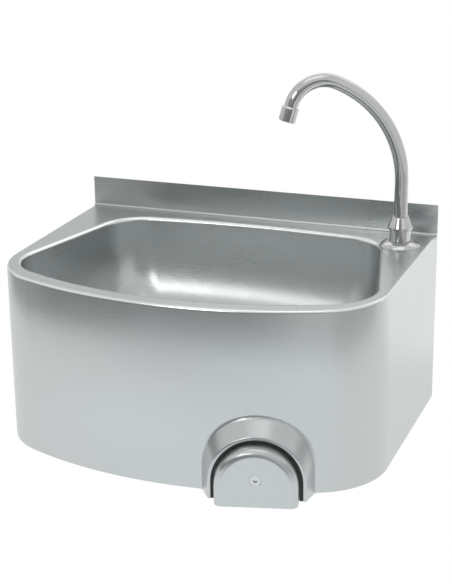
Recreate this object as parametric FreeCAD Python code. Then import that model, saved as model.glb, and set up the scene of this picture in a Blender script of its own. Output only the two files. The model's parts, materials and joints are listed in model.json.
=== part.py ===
import FreeCAD, Part
import math
import os

V = FreeCAD.Vector
UP = V(0, 0, 1)

# Wall-hung hand wash sink worked by a knee pad, with a swivelling gooseneck spout.
# Millimetres. x runs to the user's right, y = 0 is the wall plane and the front
# faces -y. Heights are measured from the top of the deck while the pieces are made,
# and the last step moves them all so that the origin is the middle of the four
# wall fixings.

# ---- basin body -------------------------------------------------------------
width = 500.0               # side to side
side_length = 245.5         # straight part of each side, measured from the wall
corner_radius = 98.0        # front corners in plan
front_radius = 492.5        # bowed front in plan
apron_height = 231.6        # deck to the lower edge
sheet = 1.2                 # stainless sheet
deck_fold_radius = 4.0      # outside radius where the deck turns down
deck_skirt = 8.0            # height of the turned-down edge, where the apron starts
upstand_height = 41.0       # splashback above the deck
upstand_bend = 3.0          # inside radius of the splashback bend
apron_return = 11.0         # inward return along the lower edge
wall_flange = 24.0          # width of the rear flanges against the wall
wall_hole = 8.5             # fixing holes in the rear flanges
wall_hole_edge = 12.0       # hole centre to the outside of the body
upper_hole_drop = 30.0      # upper fixing holes below the deck
lower_hole_rise = 26.6      # lower fixing holes above the lower edge

# ---- bowl -------------------------------------------------------------------
bowl_rear = 32.5            # wall to the bowl's rear edge at the middle
bowl_rear_radius = 1200.0
bowl_side_rim = 35.0        # deck beside the bowl at the side reference depth
bowl_side_at = 172.0        # side reference depth, from the wall
bowl_side_slant = 13.7      # degrees that the sides open towards the front
rim_width = 25.0            # deck between the bowl and the front edge
bowl_rear_corner = 60.0
bowl_front_corner = 63.0
bowl_floor_corner = 45.0    # corner radius round the floor
bowl_depth = 140.0
bowl_floor_inset = 98.0     # from the opening in to the flat of the floor
bowl_power = 2.5            # fullness of the wall's curve, 2 is an ellipse
bowl_sections = 9
lip_radius = 5.0

# ---- waste ------------------------------------------------------------------
waste_from_wall = 190.0
waste_dish_radius = 52.0    # pressed funnel round the waste
waste_dish_drop = 3.0
waste_seat_radius = 37.0
waste_hole = 52.0
waste_flange = 70.0
waste_flange_thick = 2.2
waste_seal_thick = 1.0
waste_tail = 47.8           # tail thread, one and a half inch
waste_tail_bore = 41.0
waste_tail_length = 49.8    # threaded part of the tail
waste_tail_shoulder = 1.0   # step from the taper in to the thread
waste_body_flange = 4.0
waste_mouth_wall = 1.0      # how far the body's mouth stands inside the seal's hole
waste_taper = 16.0
waste_screw = 6.0
waste_screw_head = 11.0
waste_screw_end = 2.0       # screw past the hub
waste_hub = 13.2            # boss that takes the centre screw
waste_arms = 3
waste_arm = 4.0
waste_arm_turn = 30.0       # degrees from +x to the first arm
waste_arm_root = 1.0        # how far the arms run into the wall
waste_spider_depth = 6.0
waste_seal_inset = 1.0      # seal's edge inside the flange's edge
strainer_edge = 0.8         # height of the flange's upright edge
strainer_bevel = 2.2        # width of the sloping border
strainer_dip = 4.4          # width of the slope down to the grid
strainer_sink = 0.7         # grid below the top of the border
strainer_spigot_wall = 1.5
grid_hole = 6.4
inner_grid_hole = 5.1
grid_pitch = 9.6
grid_rings = ((1, 6, 0.0), (2, 12, 0.5))    # pitches out, holes, turn in hole spacings

# ---- knee recess and pad ----------------------------------------------------
knee_angle = 14.2           # degrees off the middle, round the front's centre
collar_root_radius = 66.5
collar_root_rise = 31.6         # centre of the arch above the lower edge, at the apron
collar_tip_radius = 58.5
collar_tip_rise = 22.1          # the same at the hood's front
collar_skin_spread = 1.25       # the slanted sheet's width, measured along the face, in sheets
collar_proud = 20.0
collar_root_blend = 6.0
collar_tip_blend = 3.0
collar_mouth_radius = 55.4
collar_land_radius = 78.0       # edge of the pressed-out piece let into the apron
pad_radius = 50.2
pad_rise = 23.6                 # centre of the pad's arch above the lower edge
pad_proud = 40.0
pad_depth = 37.0
pad_sheet = 1.5
pad_edge_radius = 10.0
pad_travel = 12.0
recess_seal_depth = 8.0         # lip seal behind the hood's mouth
recess_seal_gap = 0.4           # between the lip and the pad
recess_seal_fit = 0.2           # between the seal and the hood

# ---- knee mechanism, heights and distances in the pad's own frame -----------
rod_rise = 34.6             # push rod above the lower edge
rod_diameter = 12.0
carrier_thick = 3.0
plate_foot_rise = 5.6       # lower ends of the carrier and the bracket above the lower edge
pad_screw = 8.0
pad_screw_head = 13.0
pad_screw_countersink = 14.5
pad_screw_length = 22.0
pad_screw_socket = 5.0
pad_screw_socket_depth = 3.0
bracket_setback = 26.5      # apron's front to the back of the plate
bracket_plate = 2.0
bracket_half_width = 80.0
bracket_foot = 20.0
bracket_height = 62.0
guide_pin = 6.0
guide_spacing = 64.0
guide_rise = 19.6           # guide pins above the lower edge
guide_pin_overrun = 13.0    # behind the plate at rest, with the pad out
bush_wall = 2.0
bush_length = 12.0
bush_head = 14.0
bush_head_thick = 1.5
valve_diameter = 36.0
valve_body_length = 66.0
valve_neck = 28.0
valve_neck_length = 12.0
valve_chamfer = 2.0
valve_bore = 20.0
valve_chamber = 12.0        # bore behind the piston when the pad is pressed
locknut_flats = 38.0
locknut_thick = 7.0
gland_head = 25.0
gland_head_thick = 3.0
gland_depth = 11.0          # how far the gland fills the neck
piston_length = 22.0
piston_depth = 4.0              # piston face behind the plate
piston_stem = 8.0
piston_stem_length = 14.0
piston_seal_inset = 5.5     # seals from the ends of the piston
seal_section = 1.8
spring_wire = 1.8
spring_diameter = 22.0
spring_turns = 7
spring_facets = 12          # the wire's round section is drawn as a polygon

# ---- water way ----------------------------------------------------------------
pipe_thread = 20.96         # half inch pipe thread, outside
water_bore = 11.0
nipple_length = 14.0
outlet_nipple_at = 44.0     # valve outlet behind the plate
outlet_nipple_reach = 36.0
hose_diameter = 12.0
hose_neck = 12.0
ferrule_diameter = 15.5
ferrule_length = 18.0
union_flats = 24.0
union_cover = 9.0           # how far a union nut runs over its nipple
hose_washer_thick = 1.5
union_flange_thick = 2.0
union_wall = 4.0
union_flange = 18.0
ferrule_gap = 0.5
hose_wall = 1.5             # ferrule's inner pipe is this much smaller than the water way
feed_lead_valve = 46.0      # straight leads of the feed hose at its two ends
feed_lead_mixer = 48.0
spout_lead_valve = 52.0
spout_way = ((-165.0, 0.0), (-80.0, 0.0), (-23.0, 27.0))    # from the tap, along y and above the rod
spout_lead_tap = 76.0
hose_bend_share = 0.45      # part of the shorter run that each bend takes

# ---- mixing valve -----------------------------------------------------------
mixer_x = 108.0
mixer_from_wall = 40.0
mixer_below_rail_top = 19.0
mixer_diameter = 34.0
mixer_length = 64.0
mixer_foot_width = 74.0
mixer_foot_height = 30.0
mixer_foot_thick = 4.0
mixer_neck = 22.0
mixer_outlet_boss = 24.0
mixer_outlet_reach = 33.0
inlet_flats = 26.0
inlet_shoulder = 10.0
elbow_diameter = 24.0       # supply elbows
elbow_throat = 2.0          # radius inside an elbow's bend
elbow_bend = elbow_diameter / 2 + elbow_throat
mixer_screw = 4.0
mixer_screw_head = 8.0
mixer_screw_head_height = 2.4
mixer_screw_head_edge = 1.2
mixer_screw_spacing = 58.0
slot_width = 1.2            # screwdriver slots
slot_depth = 1.2
bonnet_flats = 24.0
bonnet_length = 6.0
bonnet_bite = 1.0           # how far the nut's face stands above the underside of the body
bonnet_wrap = 4.0           # how far its rim runs up the round body
spindle = 8.0
spindle_into_body = 10.0
spindle_flat = 2.4          # flat from the axis
spindle_round_top = 2.0     # round stretch under the knob's top
knob_diameter = 36.0
knob_height = 18.0
knob_gap = 1.0
knob_flutes = 10
knob_flute = 6.0
knob_flute_out = 1.7        # middle of a flute outside the knob
knob_flute_stop = 5.5       # flutes end below the top
knob_edge = 1.5
knob_face_edge = 3.0
knob_web = 5.0              # knob's lower face to the end of the spindle
knob_screw_well = 3.0
knob_screw_sink = 0.5
knob_screw_head = 7.0
knob_screw_head_height = 2.5
knob_screw = 4.0
knob_screw_length = 8.0

# ---- back rail --------------------------------------------------------------
rail_thick = 1.5
rail_side_gap = 17.0        # rail's end to the outside of the body
rail_rise = 9.6             # rail above the lower edge
rail_height = 56.0
rail_lip = 15.0

# ---- tap ----------------------------------------------------------------------
tap_from_side = 36.0
tap_from_wall = 60.0
tap_hole = 22.0
shank_drop = 48.0           # lower end of the threaded shank below the deck
tap_base = 38.0             # hidden foot of the body
tap_base_thick = 2.0
tap_seal_thick = 1.0
cover_diameter = 53.0       # domed cover plate
cover_height = 7.0
cover_wall = 1.0
cover_edge = 0.9
cover_crown = 2.5           # flat ring at the top of the dome
cover_bulge_in = 0.44       # middle of the dome's curve, share of the way in and up
cover_bulge_up = 0.64
tap_body_diameter = 28.0
tap_body_height = 22.0
socket_floor_gap = 0.5      # under the spout's foot
spigot_diameter = 25.0
spigot_height = 29.0
lower_seal_rise = 5.0       # spout seals above the foot of the tube
upper_seal_rise = 14.0
nut_diameter = 32.0         # widest part of the spout nut
nut_band = 4.0
nut_top = 39.5
nut_top_diameter = 21.6
nut_edge = 0.8
nut_lip = 0.6
swivel_ring = 22.4
swivel_ring_thick = 2.4
backnut_flats = 30.0
backnut_thick = 8.0
shank_seal_thick = 2.0
shank_washer_thick = 2.0
shank_washer = 34.0
shank_seal = 32.0

# ---- spout --------------------------------------------------------------------
spout_diameter = 18.0
spout_wall = 1.5
spout_foot = 6.0            # lower end of the tube above the deck
spout_rise = 85.0           # where the first bend starts
first_bend_radius = 145.0
first_bend = 67.0           # degrees
second_bend_radius = 42.0
second_bend = 97.0
spout_end_straight = 20.0
spout_rest_angle = 210.0    # degrees from +x, over the bowl
aerator_diameter = 22.0
aerator_length = 19.0
aerator_bevel = 2.0
aerator_edge = 0.6
aerator_grip = 7.0          # tube inside the housing
aerator_bore = 19.4
aerator_lip = 1.0
aerator_seal_thick = 2.0
aerator_ring = 2.0
aerator_bar = 0.8
aerator_bars = 5            # each way across the insert
aerator_bar_depth = 4.8

# ---- fits -----------------------------------------------------------------------
running = 0.05              # radial, shafts and bushes
loose = 0.3                 # radial, parts that only pass each other
overlap = 5.0               # how far cutting tools run past a face
block_run = 15.0            # how far the apron's block runs below the lower edge before it is trimmed
arch_run = 20.0             # the same for the arches cut from it or joined to it
touch = 0.01                # two heights are the same within this
near_line = 0.5             # an edge lies along an outline within this
corner_slope = 0.6          # how steeply the corners of hexagons are turned back

front_centre_y = -side_length + math.sqrt(
    (front_radius - corner_radius) ** 2 - (width / 2 - corner_radius) ** 2)
lower_edge = -apron_height
waste_y = -waste_from_wall
tap_x = width / 2 - tap_from_side
tap_y = -tap_from_wall
mixer_y = -mixer_from_wall
rail_top = lower_edge + rail_rise + rail_height
mixer_height = rail_top - mixer_below_rail_top
collar_root_height = lower_edge + collar_root_rise
collar_tip_height = lower_edge + collar_tip_rise
pad_height = lower_edge + pad_rise
rod_height = lower_edge + rod_rise
guide_height = lower_edge + guide_rise
plate_foot = lower_edge + plate_foot_rise
bracket_plate_back = front_radius - bracket_setback
plate_front = bracket_plate_back + bracket_plate
pad_front = front_radius + pad_proud
fixing_heights = (-upper_hole_drop, lower_edge + lower_hole_rise)
fixings_middle = V(0, 0, sum(fixing_heights) / 2)


# ---- small helpers --------------------------------------------------------------
def line(a, b):
    return Part.LineSegment(a, b).toShape()


def arc(a, middle, b):
    return Part.Arc(a, middle, b).toShape()


def prism(wire, height):
    return Part.Face(wire).extrude(V(0, 0, height))


def box(x0, x1, y0, y1, z0, z1):
    return Part.makeBox(x1 - x0, y1 - y0, z1 - z0, V(x0, y0, z0))


def rod(diameter, start, direction, length):
    return Part.makeCylinder(diameter / 2, length, start, direction)


def tube(outer, inner, start, direction, length):
    return rod(outer, start, direction, length).cut(rod(inner, start, direction, length))


def drill(diameter, start, direction, length):
    """Cutting rod for a through hole; it runs past both ends."""
    return rod(diameter, start - direction * overlap, direction, length + 2 * overlap)


def sink(diameter, mouth, direction, depth):
    """Cutting rod for a blind hole; it runs past the mouth only."""
    return rod(diameter, mouth - direction * overlap, direction, depth + overlap)


def hex_wire(flats, z):
    radius = flats / math.sqrt(3)
    angles = [math.radians(degrees) for degrees in range(0, 361, 60)]
    return Part.makePolygon([V(radius * math.cos(angle), radius * math.sin(angle), z) for angle in angles])


def turned(profile):
    """Solid of revolution about z from (radius, height) corners."""
    corners = [V(radius, 0, height) for radius, height in profile]
    return Part.Face(Part.makePolygon(corners + corners[:1])).revolve(V(0, 0, 0), UP, 360)


def hexagon(flats, z, height):
    """Hexagonal bar with its corners turned back at both ends."""
    radius = flats / math.sqrt(3)
    slope = (radius - flats / 2) * corner_slope
    blank = turned([(0, z), (flats / 2, z), (radius, z + slope),
                    (radius, z + height - slope), (flats / 2, z + height), (0, z + height)])
    return prism(hex_wire(flats, z), height).common(blank)


def aimed(shape, start, direction):
    """Moves a shape built along +z so that it starts at a point and runs in a direction."""
    moved = shape.copy()
    turn = FreeCAD.Placement(start, FreeCAD.Rotation(UP, direction))
    moved.Placement = turn.multiply(moved.Placement)
    return moved


def edges_where(shape, test):
    found = []
    for edge in shape.Edges:
        middle = edge.valueAt((edge.FirstParameter + edge.LastParameter) / 2)
        if test(edge, middle):
            found.append(edge)
    return found


def flat_at(edge, z):
    return abs(edge.BoundBox.ZMin - z) < touch and abs(edge.BoundBox.ZMax - z) < touch


# ---- plan outlines --------------------------------------------------------------
def body_wire(inset, z, back=0.0):
    """The D of the body, moved inwards by inset, closed along the wall at y = back."""
    half = width / 2 - inset
    centre = V(width / 2 - corner_radius, -side_length, z)
    pivot = V(0, front_centre_y, z)
    toward = (centre - pivot).normalize()
    join = pivot + toward * (front_radius - inset)
    middle = centre + (V(1, 0, 0) + toward).normalize() * (corner_radius - inset)
    right = [V(half, back, z), V(half, -side_length, z), middle, join]
    left = [V(-p.x, p.y, p.z) for p in right]
    nose = V(0, front_centre_y - front_radius + inset, z)
    return Part.Wire([line(right[0], right[1]), arc(right[1], right[2], right[3]),
                      arc(right[3], nose, left[3]), arc(left[3], left[2], left[1]),
                      line(left[1], left[0]), line(left[0], right[0])])


def body_prism(inset, bottom, top, back=0.0):
    return prism(body_wire(inset, bottom, back), top - bottom)


def corner_between(side_normal, side_offset, pivot, reach, radius, rearward):
    """Centre of a corner arc that touches the slanted side and an arc about pivot."""
    along = V(side_normal.y, -side_normal.x, 0)
    start = side_normal * (side_offset - radius)
    to_start = start - pivot
    half_b = to_start.dot(along)
    rest = to_start.dot(to_start) - (reach - radius) ** 2
    root = math.sqrt(half_b ** 2 - rest)
    step = -half_b - root if rearward else -half_b + root
    return start + along * step


def bowl_wire(inset, z):
    """Bowl outline moved inwards by inset: rear bow, slanted sides, bowed front."""
    slant = math.radians(bowl_side_slant)
    normal = V(math.cos(slant), math.sin(slant), 0)
    side = V(width / 2 - bowl_side_rim, -bowl_side_at, 0).dot(normal) - inset
    share = max(inset, 0) / bowl_floor_inset
    rear_corner = bowl_rear_corner + (bowl_floor_corner - bowl_rear_corner) * share
    front_corner = bowl_front_corner + (bowl_floor_corner - bowl_front_corner) * share
    rear_pivot = V(0, -bowl_rear - bowl_rear_radius, 0)
    front_pivot = V(0, front_centre_y, 0)
    rear_reach = bowl_rear_radius - inset
    front_reach = front_radius - rim_width - inset
    rear = corner_between(normal, side, rear_pivot, rear_reach, rear_corner, True)
    front = corner_between(normal, side, front_pivot, front_reach, front_corner, False)
    rear_out = (rear - rear_pivot).normalize()
    front_out = (front - front_pivot).normalize()
    right = [rear_pivot + rear_out * rear_reach,
             rear + (rear_out + normal).normalize() * rear_corner,
             rear + normal * rear_corner,
             front + normal * front_corner,
             front + (front_out + normal).normalize() * front_corner,
             front_pivot + front_out * front_reach]
    right = [V(p.x, p.y, z) for p in right]
    left = [V(-p.x, p.y, z) for p in right]
    tail = V(0, -bowl_rear - inset, z)
    nose = V(0, front_centre_y - front_reach, z)
    return Part.Wire([arc(left[0], tail, right[0]), arc(right[0], right[1], right[2]),
                      line(right[2], right[3]), arc(right[3], right[4], right[5]),
                      arc(right[5], nose, left[5]), arc(left[5], left[4], left[3]),
                      line(left[3], left[2]), arc(left[2], left[1], left[0])])


# ---- bowl and deck --------------------------------------------------------------
def bowl_form(skin):
    """The bowl's water side, or its underside when skin is the sheet's thickness."""
    wires = []
    for step in range(bowl_sections):
        angle = math.pi / 2 * step / (bowl_sections - 1)
        drop = (bowl_depth + skin) * math.sin(angle) ** (2 / bowl_power)
        inset = bowl_floor_inset * (1 - max(math.cos(angle), 0) ** (2 / bowl_power)) - skin
        wires.append(bowl_wire(inset, -drop))
    form = Part.makeLoft(wires, True, False)
    floor = -bowl_depth - skin
    funnel = turned([(0, floor + overlap), (waste_dish_radius + skin, floor + overlap),
                     (waste_dish_radius + skin, floor), (waste_seat_radius + skin, floor - waste_dish_drop),
                     (0, floor - waste_dish_drop)])
    funnel.translate(V(0, waste_y, 0))
    return form.fuse(funnel)


def rim_edges(shape, inset, z):
    outline = bowl_wire(inset, z)

    def on_rim(edge, middle):
        return flat_at(edge, z) and outline.distToShape(Part.Vertex(middle))[0] < near_line
    return edges_where(shape, on_rim)


def fold_edges(shape, z, back):
    def on_fold(edge, middle):
        return flat_at(edge, z) and middle.y < back - touch
    return edges_where(shape, on_fold)


def deck_plate():
    """Flat deck with its edge folded down along the sides and front."""
    outside = body_prism(0, -deck_skirt, 0)
    outside = outside.makeFillet(deck_fold_radius, fold_edges(outside, 0, 0))
    inside = body_prism(sheet, -deck_skirt - overlap, -sheet, overlap)
    inside = inside.makeFillet(deck_fold_radius - sheet, fold_edges(inside, -sheet, overlap))
    return outside.cut(inside)


def upstand():
    """Splashback turned up along the wall, with its bend."""
    inner = upstand_bend
    outer = upstand_bend + sheet
    x = -width / 2
    turn = math.cos(math.radians(45))
    centre_y, centre_z = -outer, inner
    foot_top = V(x, -outer, 0)
    foot_bottom = V(x, -outer, -sheet)
    bend_top = V(x, -sheet, inner)
    bend_back = V(x, 0, inner)
    inner_middle = V(x, centre_y + inner * turn, centre_z - inner * turn)
    outer_middle = V(x, centre_y + outer * turn, centre_z - outer * turn)
    top_front = V(x, -sheet, upstand_height)
    top_back = V(x, 0, upstand_height)
    wire = Part.Wire([arc(foot_top, inner_middle, bend_top), line(bend_top, top_front),
                      line(top_front, top_back), line(top_back, bend_back),
                      arc(bend_back, outer_middle, foot_bottom), line(foot_bottom, foot_top)])
    return Part.Face(wire).extrude(V(width, 0, 0))


def make_bowl_and_deck():
    deck = deck_plate()
    bend = upstand_bend + sheet
    deck = deck.cut(box(-width / 2 + deck_fold_radius, width / 2 - deck_fold_radius,
                        -bend, overlap, -sheet, overlap))
    shell = deck.fuse(bowl_form(sheet))
    shell = shell.makeFillet(lip_radius - sheet, rim_edges(shell, -sheet, -sheet))
    shell = shell.fuse(upstand())
    above = prism(bowl_wire(-lip_radius * 2, 0), overlap)
    air = bowl_form(0).fuse(above)
    air = air.makeFillet(lip_radius, rim_edges(air, 0, 0))
    shell = shell.cut(air)
    shell = shell.cut(drill(waste_hole, V(0, waste_y, -bowl_depth), -UP, waste_dish_drop + sheet))
    return shell.cut(drill(tap_hole, V(tap_x, tap_y, 0), -UP, sheet))


# ---- apron and knee recess ------------------------------------------------------
def knee_frame():
    """The pad's frame: x across, y up, z outwards, with its origin at the front's centre."""
    turn = FreeCAD.Placement(V(0, front_centre_y, 0), FreeCAD.Rotation(UP, knee_angle))
    return turn.multiply(FreeCAD.Placement(V(0, 0, 0), FreeCAD.Rotation(V(1, 0, 0), 90)))


def at_knee(shape):
    moved = shape.copy()
    moved.Placement = knee_frame().multiply(moved.Placement)
    return moved


def from_knee(shape):
    moved = shape.copy()
    moved.Placement = knee_frame().inverse().multiply(moved.Placement)
    return moved


def arch(radius, height, out, foot=lower_edge - arch_run):
    a, b = V(-radius, foot, out), V(-radius, height, out)
    c, d = V(radius, height, out), V(radius, foot, out)
    top = V(0, height + radius, out)
    return Part.Wire([line(a, b), arc(b, top, c), line(c, d), line(d, a)])


def arch_prism(radius, height, out, length):
    return prism(arch(radius, height, out), length)


def arch_front_edges(shape, out):
    """Edges of an arch at its outer face, all but the one across its foot."""
    def in_front(edge, middle):
        return flat_at(edge, out) and edge.BoundBox.YMax > lower_edge - arch_run + touch
    return edges_where(shape, in_front)


def collar_form(skin):
    """Pressed-out hood round the pad; skin moves it in to the sheet's inner face."""
    wires = []
    for out in (-collar_proud, collar_proud - skin):
        share = out / collar_proud
        radius = collar_root_radius + (collar_tip_radius - collar_root_radius) * share
        height = collar_root_height + (collar_tip_height - collar_root_height) * share
        wires.append(arch(radius - skin * collar_skin_spread, height, front_radius + out))
    form = Part.makeLoft(wires, True, True)
    return form.makeFillet(collar_tip_blend - skin,
                           arch_front_edges(form, front_radius + collar_proud - skin))


def apron_form(skin):
    """Whole apron with the hood blended in, as a filled block."""
    past = overlap if skin else 0.0
    block = body_prism(skin, lower_edge - block_run, -deck_skirt + past, past)
    block = block.fuse(at_knee(collar_form(skin)))

    def at_root(edge, middle):
        local = knee_frame().inverse().multVec(middle)
        across = abs(local.x) < collar_land_radius
        upright = lower_edge - block_run + touch < local.y < collar_root_height + collar_land_radius
        return across and upright and -collar_proud < local.z - front_radius < collar_root_blend
    return block.makeFillet(collar_root_blend + skin, edges_where(block, at_root))


def apron_shell():
    shell = apron_form(0).cut(apron_form(sheet)).cut(below_edge())
    mouth = arch_prism(collar_mouth_radius, collar_tip_height, front_radius - collar_proud, collar_proud * 3)
    return shell.cut(at_knee(mouth))


def below_edge():
    """Cutting block for everything under the lower edge."""
    reach = width + front_radius + pad_proud
    return box(-reach, reach, -reach, reach, lower_edge - 2 * arch_run, lower_edge)


def collar_land():
    return at_knee(arch_prism(collar_land_radius, collar_root_height,
                              front_radius - 2 * collar_proud, 4 * collar_proud))


def make_apron_panel(shell):
    land = collar_land()
    lower = body_prism(sheet, lower_edge, lower_edge + sheet)
    lower = lower.cut(body_prism(sheet + apron_return, lower_edge - overlap, lower_edge + overlap, overlap))
    panel = shell.fuse(lower)
    for side in (-1, 1):
        inner = side * (width / 2 - wall_flange)
        outer = side * (width / 2 - sheet)
        flange = box(min(inner, outer), max(inner, outer), -sheet, 0, lower_edge, -deck_skirt)
        panel = panel.fuse(flange)
        for height in fixing_heights:
            centre = V(side * (width / 2 - wall_hole_edge), 0, height)
            panel = panel.cut(drill(wall_hole, centre, V(0, -1, 0), sheet))
    return panel.cut(land).removeSplitter()


def make_collar(shell):
    return shell.common(collar_land())


def make_recess_seal():
    """Lip seal inside the hood's mouth, cut to the hood's inner face and to the pad."""
    skin = sheet + recess_seal_fit
    back = front_radius + collar_proud - skin - recess_seal_depth
    band = arch_prism(collar_land_radius, collar_root_height, back, collar_land_radius)
    seal = collar_form(skin).common(band)
    lip = arch_prism(pad_radius + recess_seal_gap, pad_height, back - overlap,
                     recess_seal_depth + 2 * overlap)
    return at_knee(seal.cut(lip)).cut(below_edge())


# ---- rail along the wall --------------------------------------------------------
def make_back_rail():
    back = -sheet
    half = width / 2 - rail_side_gap
    web = box(-half, half, back - rail_thick, back, rail_top - rail_height, rail_top)
    lip = box(-half, half, back - rail_lip, back, rail_top, rail_top + rail_thick)
    rail = web.fuse(lip).removeSplitter()
    for side in (-1, 1):
        centre = V(mixer_x + side * mixer_screw_spacing / 2, back, mixer_height)
        rail = rail.cut(drill(mixer_screw, centre, V(0, -1, 0), rail_thick))
    return rail


# ---- waste ------------------------------------------------------------------------
def at_waste(shape):
    return shape.translated(V(0, waste_y, 0))


waste_seat = -bowl_depth - waste_dish_drop
strainer_bottom = waste_seat + waste_seal_thick
strainer_top = strainer_bottom + waste_flange_thick
grid_top = strainer_top - strainer_sink
waste_body_top = waste_seat - sheet - waste_seal_thick
spider_bottom = waste_body_top - waste_body_flange - waste_taper


def screw_hole_cone(top):
    depth = (waste_screw_head - waste_screw) / 2
    return turned([(0, top), (waste_screw_head / 2, top), (waste_screw / 2, top - depth), (0, top - depth)])


def make_waste_strainer():
    half = waste_flange / 2
    disc = turned([(0, strainer_bottom), (half, strainer_bottom), (half, strainer_bottom + strainer_edge),
                   (half - strainer_bevel, strainer_top), (half - strainer_bevel - strainer_dip, grid_top),
                   (0, grid_top)])
    outer = waste_hole - 2 * loose
    spigot = tube(outer, outer - 2 * strainer_spigot_wall, V(0, 0, strainer_bottom), -UP,
                  strainer_bottom - waste_body_top - loose)
    disc = disc.fuse(spigot).cut(screw_hole_cone(grid_top))
    disc = disc.cut(drill(waste_screw, V(0, 0, strainer_bottom), UP, grid_top - strainer_bottom))
    for ring, holes, turn in grid_rings:
        for k in range(holes):
            angle = 2 * math.pi * (k + turn) / holes
            reach = ring * grid_pitch
            spot = V(reach * math.cos(angle), reach * math.sin(angle), strainer_bottom)
            disc = disc.cut(drill(grid_hole if ring > 1 else inner_grid_hole, spot, UP, waste_flange_thick))
    return at_waste(disc)


def make_waste_seal(top):
    seal = waste_flange - 2 * waste_seal_inset
    return at_waste(tube(seal, waste_hole, V(0, 0, top), -UP, waste_seal_thick))


def make_waste_body():
    half = waste_flange / 2
    top = waste_body_top
    under = top - waste_body_flange
    bore = waste_tail_bore / 2
    thread = waste_tail / 2
    end = spider_bottom - waste_tail_length
    shell = turned([(waste_hole / 2 - waste_mouth_wall, top), (half, top), (half, under),
                    (thread + waste_tail_shoulder, spider_bottom), (thread, spider_bottom), (thread, end),
                    (bore, end), (bore, spider_bottom)])
    hub = rod(waste_hub, V(0, 0, spider_bottom), UP, waste_spider_depth)
    for k in range(waste_arms):
        arm = box(0, bore + waste_arm_root, -waste_arm / 2, waste_arm / 2,
                  spider_bottom, spider_bottom + waste_spider_depth)
        arm.rotate(V(0, 0, 0), UP, 360 / waste_arms * k + waste_arm_turn)
        hub = hub.fuse(arm)
    hub = hub.cut(drill(waste_screw, V(0, 0, spider_bottom), UP, waste_spider_depth))
    return at_waste(shell.fuse(hub))


def make_waste_screw():
    end = spider_bottom - waste_screw_end
    screw = screw_hole_cone(grid_top).fuse(rod(waste_screw, V(0, 0, end), UP, strainer_bottom - end))
    slot = box(-waste_screw_head, waste_screw_head, -slot_width / 2, slot_width / 2,
               grid_top - slot_depth, grid_top + overlap)
    return at_waste(screw.cut(slot))


# ---- knee pad and what it carries -------------------------------------------------
def make_knee_pad():
    back = pad_front - pad_depth
    block = arch_prism(pad_radius, pad_height, back, pad_depth)
    block = block.makeFillet(pad_edge_radius, arch_front_edges(block, pad_front))
    inside = arch_prism(pad_radius - pad_sheet, pad_height, back - overlap, pad_depth + overlap - pad_sheet)
    inside = inside.makeFillet(pad_edge_radius - pad_sheet, arch_front_edges(inside, pad_front - pad_sheet))
    return at_knee(block.cut(inside).cut(pad_screw_form(pad_screw_countersink))).cut(below_edge())


def pad_screw_form(head):
    """Countersunk screw with a head of this size, seated in the pad's countersink."""
    top = (head - pad_screw_countersink) / 2
    depth = (pad_screw_countersink - pad_screw) / 2
    form = turned([(0, top), (head / 2, top), (pad_screw / 2, -depth),
                   (pad_screw / 2, -pad_screw_length), (0, -pad_screw_length)])
    return form.translated(V(0, rod_height, pad_front))


def make_pad_carrier():
    face = pad_front - pad_sheet
    radius = pad_radius - pad_edge_radius - loose
    plate = prism(arch(radius, pad_height, face - carrier_thick, plate_foot), carrier_thick)
    for side in (-1, 1):
        centre = V(side * guide_spacing / 2, guide_height, face - carrier_thick)
        plate = plate.cut(drill(guide_pin, centre, UP, carrier_thick))
    return at_knee(plate.cut(pad_screw_form(pad_screw_countersink)))


def make_pad_screw():
    socket = prism(hex_wire(pad_screw_socket, 0), pad_screw_socket_depth + overlap)
    socket.translate(V(0, rod_height, pad_front - pad_screw_socket_depth))
    return at_knee(pad_screw_form(pad_screw_head).cut(socket))


rod_front = pad_front - pad_sheet - carrier_thick
piston_front = bracket_plate_back - piston_depth
piston_seal_drops = (piston_seal_inset, piston_length - piston_seal_inset)


def make_push_rod():
    bar = rod(rod_diameter, V(0, rod_height, piston_front), UP, rod_front - piston_front)
    return at_knee(bar.cut(pad_screw_form(pad_screw_countersink)))


def make_valve_piston():
    diameter = valve_bore - 2 * running
    top = V(0, rod_height, piston_front)
    head = rod(diameter, top, -UP, piston_length)
    for drop in piston_seal_drops:
        start = V(0, rod_height, piston_front - drop - seal_section / 2)
        head = head.cut(tube(diameter + overlap, diameter - 2 * seal_section, start, UP, seal_section))
    stem = rod(piston_stem, top - UP * piston_length, -UP, piston_stem_length)
    return at_knee(head.fuse(stem))


def make_piston_seals():
    rings = []
    radius = valve_bore / 2 - running - seal_section / 2
    for drop in piston_seal_drops:
        centre = V(0, rod_height, piston_front - drop)
        rings.append(Part.makeTorus(radius, seal_section / 2, centre, UP))
    return at_knee(Part.makeCompound(rings))


def make_guide_pins():
    pins = []
    end = bracket_plate_back - guide_pin_overrun
    for side in (-1, 1):
        start = V(side * guide_spacing / 2, guide_height, end)
        pins.append(rod(guide_pin, start, UP, pad_front - pad_sheet - end))
    return at_knee(Part.makeCompound(pins))


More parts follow.
